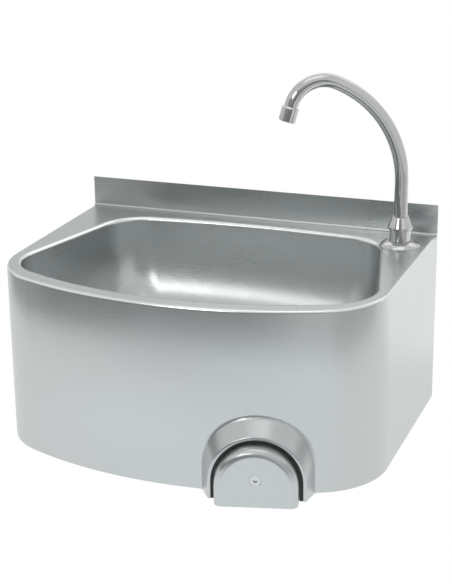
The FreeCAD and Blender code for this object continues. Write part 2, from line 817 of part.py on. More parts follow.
# ---- bracket, bushes and valve ------------------------------------------------------
def make_valve_bracket():
    """Plate across the recess with legs and feet that end on the inside of the apron."""
    half = bracket_half_width
    bottom = plate_foot
    top = bottom + bracket_height
    plate = box(-half, half, bottom, top, bracket_plate_back, plate_front)
    reach = front_radius - sheet
    for side in (-1, 1):
        x0, x1 = sorted((side * half, side * (half - bracket_plate)))
        plate = plate.fuse(box(x0, x1, bottom, top, bracket_plate_back, reach + overlap))
    feet = body_prism(sheet, bottom, top)
    feet = feet.cut(body_prism(sheet + bracket_plate, bottom - overlap, top + overlap, overlap))
    for side in (-1, 1):
        x0, x1 = sorted((side * (half - bracket_plate), side * (half + bracket_foot)))
        foot = at_knee(box(x0, x1, bottom, top, bracket_plate_back, reach + overlap)).common(feet)
        plate = plate.fuse(from_knee(foot))
    plate = plate.cut(drill(valve_neck + 2 * loose, V(0, rod_height, bracket_plate_back), UP, bracket_plate))
    for side in (-1, 1):
        centre = V(side * guide_spacing / 2, guide_height, bracket_plate_back)
        plate = plate.cut(drill(guide_pin + 2 * bush_wall, centre, UP, bracket_plate))
    return at_knee(plate).common(body_prism(sheet, bottom, top))


def make_guide_bushes():
    bushes = []
    for side in (-1, 1):
        back = V(side * guide_spacing / 2, guide_height, plate_front - bush_length)
        body = rod(guide_pin + 2 * bush_wall, back, UP, bush_length)
        head = rod(bush_head, back + UP * bush_length, UP, bush_head_thick)
        hole = drill(guide_pin + 2 * running, back, UP, bush_length + bush_head_thick)
        bushes.append(body.fuse(head).cut(hole))
    return at_knee(Part.makeCompound(bushes))


valve_back = bracket_plate_back - valve_body_length
outlet_at = bracket_plate_back - outlet_nipple_at


def make_valve_body():
    face = V(0, rod_height, bracket_plate_back)
    body = rod(valve_diameter, face, -UP, valve_body_length)
    body = body.makeChamfer(valve_chamfer, edges_where(body, lambda edge, middle: flat_at(edge, valve_back)))
    body = body.fuse(rod(valve_neck, face, UP, valve_neck_length))
    body = body.fuse(rod(pipe_thread, V(0, rod_height, valve_back), -UP, nipple_length))
    side = V(1, 0, 0)
    outlet = V(0, rod_height, outlet_at)
    body = body.fuse(rod(pipe_thread, outlet, side, outlet_nipple_reach))
    body = body.cut(rod(water_bore, outlet, side, outlet_nipple_reach + overlap))
    bore_depth = piston_depth + piston_length + pad_travel + valve_chamber
    body = body.cut(sink(valve_bore, face + UP * valve_neck_length, -UP, valve_neck_length + bore_depth))
    inlet = V(0, rod_height, valve_back - nipple_length)
    return at_knee(body.cut(sink(water_bore, inlet, UP, nipple_length + valve_body_length - bore_depth)))


def make_valve_locknut():
    nut = hexagon(locknut_flats, plate_front, locknut_thick)
    nut = nut.cut(drill(valve_neck, V(0, 0, plate_front), UP, locknut_thick))
    return at_knee(nut.translated(V(0, rod_height, 0)))


gland_face = bracket_plate_back + valve_neck_length


def make_valve_gland():
    inside = rod(valve_bore, V(0, rod_height, gland_face), -UP, gland_depth)
    head = rod(gland_head, V(0, rod_height, gland_face), UP, gland_head_thick)
    hole = rod(rod_diameter + 2 * running, V(0, rod_height, 0), UP, pad_front)
    return at_knee(inside.fuse(head).cut(hole))


def make_return_spring():
    """Coil between the gland and the pad's carrier plate."""
    start = gland_face + gland_head_thick + spring_wire / 2
    length = rod_front - spring_wire / 2 - start
    radius = (spring_diameter - spring_wire) / 2
    path = Part.Wire(Part.makeLongHelix(length / spring_turns, length, radius))
    ring = [V(radius, 0, 0) + V(math.cos(a), 0, math.sin(a)) * (spring_wire / 2)
            for a in (2 * math.pi * k / spring_facets for k in range(spring_facets + 1))]
    coil = path.makePipeShell([Part.makePolygon(ring)], True, True)
    return at_knee(coil.translated(V(0, rod_height, start)))


# ---- mixing valve -------------------------------------------------------------------
def mixer_end(side):
    return mixer_x + side * mixer_length / 2


def make_mixer_body():
    centre = V(mixer_x, mixer_y, mixer_height)
    across = V(1, 0, 0)
    front = V(0, -1, 0)
    body = rod(mixer_diameter, V(mixer_end(-1), mixer_y, mixer_height), across, mixer_length)
    body = body.fuse(rod(mixer_outlet_boss, centre, front, mixer_outlet_reach - nipple_length))
    body = body.fuse(rod(pipe_thread, centre, front, mixer_outlet_reach))
    base = -sheet - rail_thick
    half = mixer_foot_width / 2
    body = body.fuse(box(mixer_x - half, mixer_x + half, base - mixer_foot_thick, base,
                         mixer_height - mixer_foot_height / 2, mixer_height + mixer_foot_height / 2))
    neck = rod(mixer_neck, V(mixer_x, base, mixer_height), front, mixer_from_wall + base)
    body = body.fuse(neck)
    body = body.cut(drill(water_bore, V(mixer_end(-1), mixer_y, mixer_height), across, mixer_length))
    body = body.cut(rod(water_bore, centre, front, mixer_outlet_reach + overlap))
    body = body.cut(rod(spindle + 2 * running, centre, -UP, mixer_diameter))
    for side in (-1, 1):
        hole = V(mixer_x + side * mixer_screw_spacing / 2, base, mixer_height)
        body = body.cut(drill(mixer_screw, hole, front, mixer_foot_thick))
    return body


def make_mixer_screws():
    seat = -sheet - rail_thick - mixer_foot_thick
    screws = []
    for side in (-1, 1):
        start = V(mixer_x + side * mixer_screw_spacing / 2, seat, mixer_height)
        shank = rod(mixer_screw, start, V(0, 1, 0), -seat - sheet / 2)
        head = rod(mixer_screw_head, start, V(0, -1, 0), mixer_screw_head_height)
        front = seat - mixer_screw_head_height
        head = head.makeFillet(mixer_screw_head_edge, edges_where(
            head, lambda edge, middle: edge.BoundBox.YMax < front + touch))
        slot = box(start.x - mixer_screw_head, start.x + mixer_screw_head,
                   front - overlap, front + slot_depth,
                   mixer_height - slot_width / 2, mixer_height + slot_width / 2)
        screws.append(shank.fuse(head).cut(slot))
    return Part.makeCompound(screws)


def inlet_x(side):
    return mixer_end(side) + side * (inlet_shoulder + elbow_bend)


def make_inlet_connector(side):
    """Elbow screwed into one end of the mixing valve, with its supply thread pointing down."""
    out = V(side, 0, 0)
    start = V(mixer_end(side), mixer_y, mixer_height)
    elbow_start = start + out * inlet_shoulder
    thread_top = V(inlet_x(side), mixer_y, mixer_height - elbow_bend)

    def bend(diameter):
        disc = Part.Face(Part.Wire(Part.makeCircle(diameter / 2, elbow_start, out)))
        return disc.revolve(elbow_start - UP * elbow_bend, V(0, side, 0), 90)

    shape = aimed(hexagon(inlet_flats, 0, inlet_shoulder), start, out).fuse(bend(elbow_diameter))
    shape = shape.fuse(rod(pipe_thread, thread_top, -UP, nipple_length))
    shape = shape.cut(sink(water_bore, start, out, inlet_shoulder)).cut(bend(water_bore))
    return shape.cut(rod(water_bore, thread_top, -UP, nipple_length + overlap))


bonnet_top = mixer_height - mixer_diameter / 2 + bonnet_bite
knob_top = bonnet_top - bonnet_length - knob_gap
knob_bottom = knob_top - knob_height
spindle_bottom = knob_bottom + knob_web


def at_mixer(shape):
    return shape.translated(V(mixer_x, mixer_y, 0))


def make_mixer_bonnet():
    """Gland nut under the mixing valve, cut to sit on its round body."""
    height = bonnet_length + bonnet_wrap
    nut = hexagon(bonnet_flats, bonnet_top - bonnet_length, height)
    nut = nut.cut(drill(spindle + 2 * running, V(0, 0, bonnet_top - bonnet_length), UP, height))
    body = rod(mixer_diameter, V(-mixer_length, 0, mixer_height), V(1, 0, 0), 2 * mixer_length)
    return at_mixer(nut.cut(body))


def spindle_form(bottom, top):
    """Spindle between two heights, with the flat that turns it."""
    flat = box(spindle_flat, spindle, -spindle, spindle, bottom - overlap, knob_top - spindle_round_top)
    return rod(spindle, V(0, 0, bottom), UP, top - bottom).cut(flat)


def knob_screw_hole():
    depth = knob_screw_sink + knob_screw_head_height + knob_screw_length
    return sink(knob_screw, V(0, 0, knob_bottom), UP, depth)


def make_mixer_spindle():
    bar = spindle_form(spindle_bottom, mixer_height - mixer_diameter / 2 + spindle_into_body)
    return at_mixer(bar.cut(knob_screw_hole()))


def make_temperature_knob():
    half = knob_diameter / 2
    knob = turned([(0, knob_top), (half - knob_edge, knob_top), (half, knob_top - knob_edge),
                   (half, knob_bottom + knob_face_edge), (half - knob_face_edge, knob_bottom),
                   (0, knob_bottom)])
    for k in range(knob_flutes):
        angle = 2 * math.pi * k / knob_flutes
        reach = half + knob_flute_out
        spot = V(reach * math.cos(angle), reach * math.sin(angle), knob_bottom)
        knob = knob.cut(sink(knob_flute, spot, UP, knob_height - knob_flute_stop))
    knob = knob.cut(spindle_form(spindle_bottom, knob_top + overlap))
    knob = knob.cut(sink(knob_screw_head, V(0, 0, knob_bottom), UP, knob_screw_well))
    return at_mixer(knob.cut(knob_screw_hole()))


def make_knob_screw():
    face = knob_bottom + knob_screw_sink
    under = face + knob_screw_head_height
    screw = rod(knob_screw_head, V(0, 0, face), UP, knob_screw_head_height)
    screw = screw.fuse(rod(knob_screw, V(0, 0, under), UP, knob_screw_length))
    return at_mixer(screw.cut(box(-knob_screw_head, knob_screw_head, -slot_width / 2, slot_width / 2,
                                  knob_bottom - overlap, face + slot_depth)))


# ---- hoses --------------------------------------------------------------------------
hose_start = hose_washer_thick + union_flange_thick + union_wall + ferrule_gap + hose_washer_thick


def route_wire(points):
    """Straight runs with an arc at each inner point; returns the wire and its radii."""
    edges = []
    radii = []
    last = points[0]
    for before, here, after in zip(points, points[1:], points[2:]):
        way_in = (here - before).normalize()
        way_out = (after - here).normalize()
        turn = way_in.getAngle(way_out)
        reach = hose_bend_share * min((here - before).Length, (after - here).Length)
        radius = reach / math.tan(turn / 2)
        start = here - way_in * reach
        end = here + way_out * reach
        inward = (way_out - way_in).normalize()
        middle = here + inward * (radius / math.cos(turn / 2) - radius)
        edges.append(line(last, start))
        edges.append(arc(start, middle, end))
        radii.append(radius)
        last = end
    edges.append(line(last, points[-1]))
    return Part.Wire(edges), radii


def make_hose(name, points):
    wire, radii = route_wire(points)
    direction = (points[1] - points[0]).normalize()
    section = Part.Wire(Part.makeCircle(hose_diameter / 2, points[0], direction))
    hose = wire.makePipeShell([section], True, True)
    expected = math.pi * hose_diameter ** 2 / 4 * wire.Length
    print(name, "length", round(wire.Length, 1), "radii", [round(r) for r in radii],
          "volume share", round(hose.Volume / expected, 4))
    return hose


def hose_ferrule():
    a = hose_washer_thick
    b = a + union_flange_thick
    c = b + union_wall + ferrule_gap
    d = c + hose_washer_thick
    end = d + ferrule_length
    bore = water_bore / 2 - hose_wall
    return turned([(bore, a), (union_flange / 2, a), (union_flange / 2, b), (hose_neck / 2, b),
                   (hose_neck / 2, c), (ferrule_diameter / 2, c), (ferrule_diameter / 2, end),
                   (hose_diameter / 2, end), (hose_diameter / 2, d), (bore, d)])


def hose_nut():
    back = hose_washer_thick + union_flange_thick
    nut = hexagon(union_flats, -union_cover, union_cover + back + union_wall)
    nut = nut.cut(sink(pipe_thread, V(0, 0, -union_cover), UP, union_cover + back))
    return nut.cut(rod(hose_neck + 2 * loose, V(0, 0, 0), UP, back + union_wall + overlap))


def hose_washer():
    return tube(union_flange, water_bore, V(0, 0, 0), UP, hose_washer_thick)


def both_ends(part, ends):
    return Part.makeCompound([aimed(part, point, direction) for point, direction in ends])


def knee_point(across, height, out):
    return knee_frame().multVec(V(across, height, out))


def knee_direction(across, height, out):
    return knee_frame().Rotation.multVec(V(across, height, out))


def feed_hose_ends():
    valve = knee_point(0, rod_height, valve_back - nipple_length)
    return [(valve, knee_direction(0, 0, -1)),
            (V(mixer_x, mixer_y - mixer_outlet_reach, mixer_height), V(0, -1, 0))]


def spout_hose_ends():
    valve = knee_point(outlet_nipple_reach, rod_height, outlet_at)
    return [(valve, knee_direction(1, 0, 0)), (V(tap_x, tap_y, -shank_drop), V(0, 0, -1))]


def feed_hose_points():
    (valve, out_of_valve), (mixer, out_of_mixer) = feed_hose_ends()
    return [valve + out_of_valve * hose_start, valve + out_of_valve * feed_lead_valve,
            mixer + out_of_mixer * feed_lead_mixer, mixer + out_of_mixer * hose_start]


def spout_hose_points():
    (valve, out_of_valve), (tap, down) = spout_hose_ends()
    way = [V(tap.x, tap.y + along, rod_height + rise) for along, rise in spout_way]
    return [valve + out_of_valve * hose_start, valve + out_of_valve * spout_lead_valve, *way,
            tap + down * spout_lead_tap, tap + down * hose_start]


# ---- tap ----------------------------------------------------------------------------
def at_tap(shape):
    return shape.translated(V(tap_x, tap_y, 0))


def make_tap_cover():
    """Domed cover plate on the deck."""
    half = cover_diameter / 2
    hole = tap_body_diameter / 2 + loose

    def form(skin, inner):
        foot = V(half - skin, 0, 0)
        edge = V(half - skin, 0, cover_edge - skin / 2)
        crown = V(hole + cover_crown, 0, cover_height - skin)
        rise = crown - edge
        bulge = edge + V(rise.x * cover_bulge_in, 0, rise.z * cover_bulge_up)
        end = V(inner, 0, cover_height - skin)
        base = V(inner, 0, 0)
        outline = Part.Wire([line(foot, edge), arc(edge, bulge, crown), line(crown, end), line(end, base),
                             line(base, foot)])
        return Part.Face(outline).revolve(V(0, 0, 0), UP, 360)
    return at_tap(form(0, hole).cut(form(cover_wall, hole - overlap)))


def make_tap_seal():
    return at_tap(tube(tap_base, tap_hole, V(0, 0, 0), UP, tap_seal_thick))


def make_tap_body():
    base = tap_seal_thick
    shape = turned([(0, -shank_drop), (pipe_thread / 2, -shank_drop), (pipe_thread / 2, base),
                    (tap_base / 2, base), (tap_base / 2, base + tap_base_thick),
                    (tap_body_diameter / 2, base + tap_base_thick),
                    (tap_body_diameter / 2, tap_body_height), (spigot_diameter / 2, tap_body_height),
                    (spigot_diameter / 2, spigot_height), (0, spigot_height)])
    shape = shape.cut(drill(water_bore, V(0, 0, -shank_drop), UP, shank_drop + spigot_height))
    socket = spout_diameter + 2 * running
    shape = shape.cut(rod(socket, V(0, 0, spout_foot - socket_floor_gap), UP, spigot_height))
    for height in seal_heights():
        groove = rod(socket + 2 * seal_section, V(0, 0, height - seal_section / 2), UP, seal_section)
        shape = shape.cut(groove)
    return at_tap(shape)


def seal_heights():
    return spout_foot + lower_seal_rise, spout_foot + upper_seal_rise


def make_spout_seals():
    radius = spout_diameter / 2 + running + seal_section / 2
    return at_tap(Part.makeCompound([Part.makeTorus(radius, seal_section / 2, V(0, 0, height), UP)
                                     for height in seal_heights()]))


ring_bottom = spigot_height + loose / 2
ring_top = ring_bottom + swivel_ring_thick


def make_spout_nut():
    """Coned nut that holds the spout down and lets it turn."""
    foot = tap_body_height
    shoulder = foot + nut_band
    chamber = ring_top + loose / 2
    profile = [(spigot_diameter / 2, foot), (nut_diameter / 2 - nut_edge, foot),
               (nut_diameter / 2, foot + nut_edge), (nut_diameter / 2, shoulder),
               (nut_top_diameter / 2, nut_top - nut_edge),
               (nut_top_diameter / 2 - nut_lip, nut_top), (spout_diameter / 2 + running, nut_top),
               (spout_diameter / 2 + running, chamber), (swivel_ring / 2 + running, chamber),
               (swivel_ring / 2 + running, spigot_height), (spigot_diameter / 2, spigot_height)]
    return at_tap(turned(profile))


def make_shank_seal():
    return at_tap(tube(shank_seal, pipe_thread, V(0, 0, -sheet), -UP, shank_seal_thick))


def make_shank_washer():
    top = V(0, 0, -sheet - shank_seal_thick)
    return at_tap(tube(shank_washer, pipe_thread, top, -UP, shank_washer_thick))


def make_tap_backnut():
    top = -sheet - shank_seal_thick - shank_washer_thick
    nut = hexagon(backnut_flats, top - backnut_thick, backnut_thick)
    return at_tap(nut.cut(drill(pipe_thread, V(0, 0, top - backnut_thick), UP, backnut_thick)))


# ---- spout --------------------------------------------------------------------------
def spout_points():
    """Corners of the spout's centre line, with (0, 0) on the swivel axis."""
    def on_bend(centre, radius, angle):
        return V(centre.x - radius * math.cos(angle), 0, centre.z + radius * math.sin(angle))
    first = math.radians(first_bend)
    last = math.radians(first_bend + second_bend)
    centre = V(first_bend_radius, 0, spout_rise)
    rise_end = V(0, 0, spout_rise)
    first_middle = on_bend(centre, first_bend_radius, first / 2)
    first_end = on_bend(centre, first_bend_radius, first)
    step = first_bend_radius - second_bend_radius
    second_centre = on_bend(centre, step, first)
    second_middle = on_bend(second_centre, second_bend_radius, (first + last) / 2)
    second_end = on_bend(second_centre, second_bend_radius, last)
    outward = V(math.sin(last), 0, math.cos(last))
    return rise_end, first_middle, first_end, second_middle, second_end, outward


def place_spout(shape):
    turned_shape = shape.copy()
    turned_shape.rotate(V(0, 0, 0), UP, spout_rest_angle)
    return at_tap(turned_shape)


def make_spout_tube():
    rise_end, first_middle, first_end, second_middle, second_end, outward = spout_points()
    foot = V(0, 0, spout_foot)
    tip = second_end + outward * (spout_end_straight - aerator_length + aerator_grip)
    path = Part.Wire([line(foot, rise_end), arc(rise_end, first_middle, first_end),
                      arc(first_end, second_middle, second_end), line(second_end, tip)])
    pipes = []
    for diameter in (spout_diameter, spout_diameter - 2 * spout_wall):
        section = Part.Wire(Part.makeCircle(diameter / 2, foot, UP))
        pipes.append(path.makePipeShell([section], True, True))
    return place_spout(pipes[0].cut(pipes[1]))


def make_swivel_ring():
    return at_tap(tube(swivel_ring, spout_diameter, V(0, 0, ring_bottom), UP, swivel_ring_thick))


def at_outlet(shape):
    """Moves a shape built along +z, with z = 0 at the housing's upper end, to the spout's outlet."""
    points = spout_points()
    start = points[4] + points[5] * (spout_end_straight - aerator_length)
    return place_spout(aimed(shape, start, points[5]))


def make_aerator_housing():
    half = aerator_diameter / 2
    end = aerator_length
    fit = spout_diameter / 2
    bore = aerator_bore / 2
    return at_outlet(turned([(fit, 0), (half - aerator_bevel, 0), (half, aerator_bevel),
                             (half, end - aerator_edge), (half - aerator_edge, end),
                             (bore - aerator_lip, end), (bore - aerator_lip, end - aerator_lip),
                             (bore, end - aerator_lip),
                             (bore, aerator_grip), (fit, aerator_grip)]))


def make_aerator_seal():
    return at_outlet(tube(aerator_bore, spout_diameter - 2 * spout_wall, V(0, 0, aerator_grip), UP,
                          aerator_seal_thick))


def make_aerator_insert():
    """Plastic flow straightener: a ring, a grid of bars and a hub."""
    start = aerator_grip + aerator_seal_thick
    length = aerator_length - aerator_lip - start
    ring = tube(aerator_bore, aerator_bore - 2 * aerator_ring, V(0, 0, start), UP, length)
    half = (aerator_bore - aerator_ring) / 2
    low = start + (length - aerator_bar_depth) / 2
    high = low + aerator_bar_depth
    pitch = (aerator_bore - 2 * aerator_ring) / (aerator_bars + 1)
    for k in range(aerator_bars):
        offset = (k - (aerator_bars - 1) / 2) * pitch
        reach = math.sqrt(half ** 2 - offset ** 2)
        near, far = offset - aerator_bar / 2, offset + aerator_bar / 2
        ring = ring.fuse(box(-reach, reach, near, far, low, high))
        ring = ring.fuse(box(near, far, -reach, reach, low, high))
    return at_outlet(ring)


# ---- everything, by node --------------------------------------------------------------
def make_all():
    shell = apron_shell()
    feed_ends = feed_hose_ends()
    spout_ends = spout_hose_ends()
    return {
        "bowl_and_deck": make_bowl_and_deck(),
        "apron_panel": make_apron_panel(shell),
        "knee_recess_collar": make_collar(shell),
        "recess_seal": make_recess_seal(),
        "back_rail": make_back_rail(),
        "waste_strainer": make_waste_strainer(),
        "waste_upper_seal": make_waste_seal(strainer_bottom),
        "waste_lower_seal": make_waste_seal(waste_seat - sheet),
        "waste_body": make_waste_body(),
        "waste_centre_screw": make_waste_screw(),
        "knee_pad": make_knee_pad(),
        "pad_carrier": make_pad_carrier(),
        "pad_screw": make_pad_screw(),
        "push_rod": make_push_rod(),
        "valve_piston": make_valve_piston(),
        "piston_seals": make_piston_seals(),
        "guide_pins": make_guide_pins(),
        "valve_bracket": make_valve_bracket(),
        "guide_bushes": make_guide_bushes(),
        "valve_body": make_valve_body(),
        "valve_locknut": make_valve_locknut(),
        "valve_gland": make_valve_gland(),
        "return_spring": make_return_spring(),
        "mixer_body": make_mixer_body(),
        "mixer_screws": make_mixer_screws(),
        "hot_inlet_connector": make_inlet_connector(-1),
        "cold_inlet_connector": make_inlet_connector(1),
        "mixer_bonnet": make_mixer_bonnet(),
        "mixer_spindle": make_mixer_spindle(),
        "temperature_knob": make_temperature_knob(),
        "knob_screw": make_knob_screw(),
        "feed_hose": make_hose("feed_hose", feed_hose_points()),
        "feed_hose_ferrules": both_ends(hose_ferrule(), feed_ends),
        "feed_hose_nuts": both_ends(hose_nut(), feed_ends),
        "feed_hose_washers": both_ends(hose_washer(), feed_ends),
        "spout_hose": make_hose("spout_hose", spout_hose_points()),
        "spout_hose_ferrules": both_ends(hose_ferrule(), spout_ends),
        "spout_hose_nuts": both_ends(hose_nut(), spout_ends),
        "spout_hose_washers": both_ends(hose_washer(), spout_ends),
        "tap_cover_plate": make_tap_cover(),
        "tap_deck_seal": make_tap_seal(),
        "tap_body": make_tap_body(),
        "spout_seals": make_spout_seals(),
        "spout_nut": make_spout_nut(),
        "shank_seal": make_shank_seal(),
        "shank_washer": make_shank_washer(),
        "tap_backnut": make_tap_backnut(),
        "spout_tube": make_spout_tube(),
        "spout_swivel_ring": make_swivel_ring(),
        "aerator_housing": make_aerator_housing(),
        "aerator_seal": make_aerator_seal(),
        "aerator_insert": make_aerator_insert(),
    }


os.makedirs("parts", exist_ok=True)
for node, shape in make_all().items():
    shape.translate(-fixings_middle)
    solids = shape.Solids
    bounds = shape.BoundBox
    print(f"{node:24s} solids {len(solids)} valid {shape.isValid()} volume {shape.Volume:10.1f} "
          f"x {bounds.XMin:7.1f} {bounds.XMax:7.1f} y {bounds.YMin:7.1f} {bounds.YMax:7.1f} "
          f"z {bounds.ZMin:7.1f} {bounds.ZMax:7.1f}")
    shape.exportStep(os.path.join("parts", node + ".step"))
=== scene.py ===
import bpy
import bmesh
import json
import math
from mathutils import Matrix, Vector


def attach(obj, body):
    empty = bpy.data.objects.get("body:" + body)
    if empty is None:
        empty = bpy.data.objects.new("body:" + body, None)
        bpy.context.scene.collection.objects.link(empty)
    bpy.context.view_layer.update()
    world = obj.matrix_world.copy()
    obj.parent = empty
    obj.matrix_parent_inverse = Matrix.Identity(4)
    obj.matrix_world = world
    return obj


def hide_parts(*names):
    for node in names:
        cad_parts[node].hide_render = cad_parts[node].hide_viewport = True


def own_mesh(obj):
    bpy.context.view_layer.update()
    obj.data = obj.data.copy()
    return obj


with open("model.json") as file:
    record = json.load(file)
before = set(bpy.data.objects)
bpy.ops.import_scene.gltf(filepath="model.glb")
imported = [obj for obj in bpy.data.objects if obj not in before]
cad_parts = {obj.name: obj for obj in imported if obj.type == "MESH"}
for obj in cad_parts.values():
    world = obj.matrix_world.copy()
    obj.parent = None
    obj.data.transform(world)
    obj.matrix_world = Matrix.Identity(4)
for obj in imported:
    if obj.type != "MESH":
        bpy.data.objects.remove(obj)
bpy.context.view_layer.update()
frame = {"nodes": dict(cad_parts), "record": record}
print("frame loaded:", len(frame["nodes"]), "nodes")

millimetre = 0.001
white = (1, 1, 1)
noiseBand = (0.3, 0.7)  # the part of a pattern's range over which tones and roughness change


def grey(tone):
    return (tone, tone, tone)


def addMesh(name, bm, material):
    mesh = bpy.data.meshes.new(name)
    bm.to_mesh(mesh)
    bm.free()
    mesh.materials.append(material)
    made = bpy.data.objects.new(name, mesh)
    bpy.context.collection.objects.link(made)
    return made


def feed(tree, node, inputs):
    # each socket takes a number, a colour or another node's output
    for name, value in inputs.items():
        socket = node.inputs[name]
        if isinstance(value, bpy.types.NodeSocket):
            tree.links.new(value, socket)
        elif socket.type == "RGBA":
            socket.default_value = (*value, 1)
        else:
            socket.default_value = value


def addNode(tree, kind, inputs=None, **settings):
    node = tree.nodes.new("ShaderNode" + kind)
    for name, value in settings.items():
        setattr(node, name, value)
    feed(tree, node, inputs or {})
    return node


def startMaterial(name):
    material = bpy.data.materials.new(name)
    material.use_nodes = True
    tree = material.node_tree
    return material, tree, tree.nodes["Principled BSDF"]


def calc(tree, operation, *values, clamp=False):
    node = addNode(tree, "Math", dict(enumerate(values)), operation=operation, use_clamp=clamp)
    return node.outputs[0]


def ramped(tree, source, start, end):
    # 0 at the start, 1 at the end, also where the end is the smaller
    ramp = addNode(tree, "MapRange", {"Value": source, "From Min": start, "From Max": end},
                   interpolation_type="SMOOTHSTEP")
    return ramp.outputs["Result"]


def mixColours(tree, factor, first, second):
    mix = addNode(tree, "Mix", {"Factor": factor, 6: first, 7: second}, data_type="RGBA")
    return mix.outputs[2]


def mixValues(tree, factor, first, second):
    return addNode(tree, "Mix", {"Factor": factor, 2: first, 3: second}).outputs[0]


def objectNoise(tree, stretch, scale, detail):
    where = addNode(tree, "TexCoord")
    mapping = addNode(tree, "Mapping", {"Vector": where.outputs["Object"], "Scale": stretch})
    noise = addNode(tree, "TexNoise", {"Vector": mapping.outputs[0], "Scale": scale,
                                       "Detail": detail})
    return noise.outputs["Fac"]


def spread(tree, source, low, high):
    first, last = noiseBand
    band = addNode(tree, "MapRange", {"Value": source, "From Min": first, "From Max": last,
                                      "To Min": low, "To Max": high})
    return band.outputs["Result"]


def tint(tree, source, dark, light):
    ramp = addNode(tree, "ValToRGB", {"Fac": source})
    for element, position, colour in zip(ramp.color_ramp.elements, noiseBand, (dark, light)):
        element.position = position
        element.color = (*colour, 1)
    return ramp.outputs["Color"]


view = {
    "place": (0.6683, -1.9243, 0.7105),
    "azimuth": 20.507,
    "elevation": 18.959,
    "roll": -0.716,
    "lens": 94.3,
    "sensor": 36.0,
    "clipEnd": 60.0,
}


def makeCamera():
    azimuth = math.radians(view["azimuth"])
    elevation = math.radians(view["elevation"])
    roll = math.radians(view["roll"])
    back = Vector((math.sin(azimuth) * math.cos(elevation),
                   -math.cos(azimuth) * math.cos(elevation), math.sin(elevation)))
    level = back.cross(Vector((0, 0, 1))) * -1
    level.normalize()
    rise = back.cross(level)
    right = level * math.cos(roll) + rise * math.sin(roll)
    up = rise * math.cos(roll) - level * math.sin(roll)
    turn = Matrix((right, up, back)).transposed()
    data = bpy.data.cameras.new("photoCamera")
    data.sensor_fit = "VERTICAL"
    data.sensor_height = view["sensor"]
    data.sensor_width = view["sensor"]
    data.lens = view["lens"]
    data.clip_end = view["clipEnd"]
    camera = bpy.data.objects.new("photoCamera", data)
    camera.matrix_world = Matrix.Translation(view["place"]) @ turn.to_4x4()
    bpy.context.collection.objects.link(camera)
    bpy.context.scene.camera = camera
    print("camera set")


studio = {
    "floorHeight": -1.7,  # low enough for a look from below
    "floorHalf": 15.0,
    "floorTone": 0.82,
    "floorRough": 0.9,
    "skyForDiffuse": 0.75,
    "lamps": [  # name, place, aimed at, width, height, watts
        ("topSoftbox", (-0.3, -0.9, 2.2), (0.0, -0.2, 0.0), 1.6, 1.2, 12.0),
        ("leftSoftbox", (-2.2, -1.5, 1.3), (0.0, -0.2, 0.0), 0.9, 1.4, 8.0),
    ],
    "cards": [  # name, middle, facing, roll, width, height, colour
        ("frontLowCard", (0.0, -3.0, -0.2), (0.0, -0.2, -0.2), 0.0, 7.0, 1.1,
         (0.28, 0.27, 0.265)),
        ("frontHighCard", (0.0, -3.0, 1.125), (0.0, -0.2, 1.125), 0.0, 7.0, 1.55,
         (0.365, 0.36, 0.355)),
        ("backLeftCard", (-2.225, 1.9, 0.85), (-2.225, -0.2, 0.85), 0.0, 2.55, 2.1, grey(0.7)),
        ("backRightCard", (1.275, 1.9, 0.85), (1.275, -0.2, 0.85), 0.0, 4.45, 2.1, grey(0.86)),
        ("backHighCard", (0.0, 1.0, 1.45), (0.1, -0.1, 0.12), 0.0, 2.6, 0.8, grey(1.2)),
        ("leftCard", (-3.2, -0.55, 0.575), (0.0, -0.55, 0.575), 0.0, 4.9, 2.65, grey(0.75)),
        ("rightCard", (3.2, -0.55, 0.575), (0.0, -0.55, 0.575), 0.0, 4.9, 2.65, grey(0.8)),
        ("ceilingCard", (0.0, -0.55, 2.3), (0.0, -0.55, 0.0), 0.0, 7.0, 5.0, grey(0.78)),
        ("topGlowCard", (0.1, -0.5, 2.2), (0.1, -0.5, 0.0), 0.0, 1.6, 1.2, grey(1.3)),
        # the bright streak in the bowl
        ("streakCard", (-0.29, -1.675, 1.0), (-0.12, -0.055, 0.025), -53.0, 0.35, 0.8, grey(3.8)),
        ("floorCard", (0.0, -2.2, -0.745), (0.0, -2.2, 1.0), 0.0, 4.0, 1.5, (1.06, 1.1, 1.14)),
        ("lowBackCard", (0.55, 1.0, -0.22), (0.25, -0.15, 0.1), 0.0, 1.2, 0.45, grey(1.2)),
    ],
    "bentCards": [  # name, start and end angle from the front, bottom, top, colour
        ("bentLeftCard", -85.0, -50.0, -0.045, 0.13, grey(0.44)),
        ("bentFrontCard", -50.0, 16.0, -0.05, 0.13, grey(0.26)),
        ("bentMiddleCard", 16.0, 26.0, -0.05, 0.13, grey(0.44)),
        ("bentCornerCard", 26.0, 45.0, -0.05, 0.13, grey(0.68)),
        ("bentLowCard", -75.0, 0.0, -0.14, -0.055, grey(1.0)),
        ("bentRightCard", 45.0, 90.0, -0.05, 0.13, grey(0.55)),
    ],
    "bendCentre": (0.0, -0.1),
    "bendRadius": 0.6,
    "bendSteps": 16,
}


def raySeen(tree):
    # 1 for the rays that show the background, straight, mirrored or through glass
    path = addNode(tree, "LightPath")
    seen = calc(tree, "ADD", path.outputs["Is Camera Ray"], path.outputs["Is Glossy Ray"])
    return calc(tree, "ADD", seen, path.outputs["Is Transmission Ray"], clamp=True)


def makeWorld():
    world = bpy.data.worlds.new("studioWorld")
    bpy.context.scene.world = world
    world.use_nodes = True
    tree = world.node_tree
    tree.nodes.clear()
    lit = addNode(tree, "Background", {"Color": white, "Strength": studio["skyForDiffuse"]})
    shown = addNode(tree, "Background", {"Color": white, "Strength": 1.0})
    mix = addNode(tree, "MixShader", {"Fac": raySeen(tree), 1: lit.outputs[0], 2: shown.outputs[0]})
    addNode(tree, "OutputWorld", {"Surface": mix.outputs[0]})


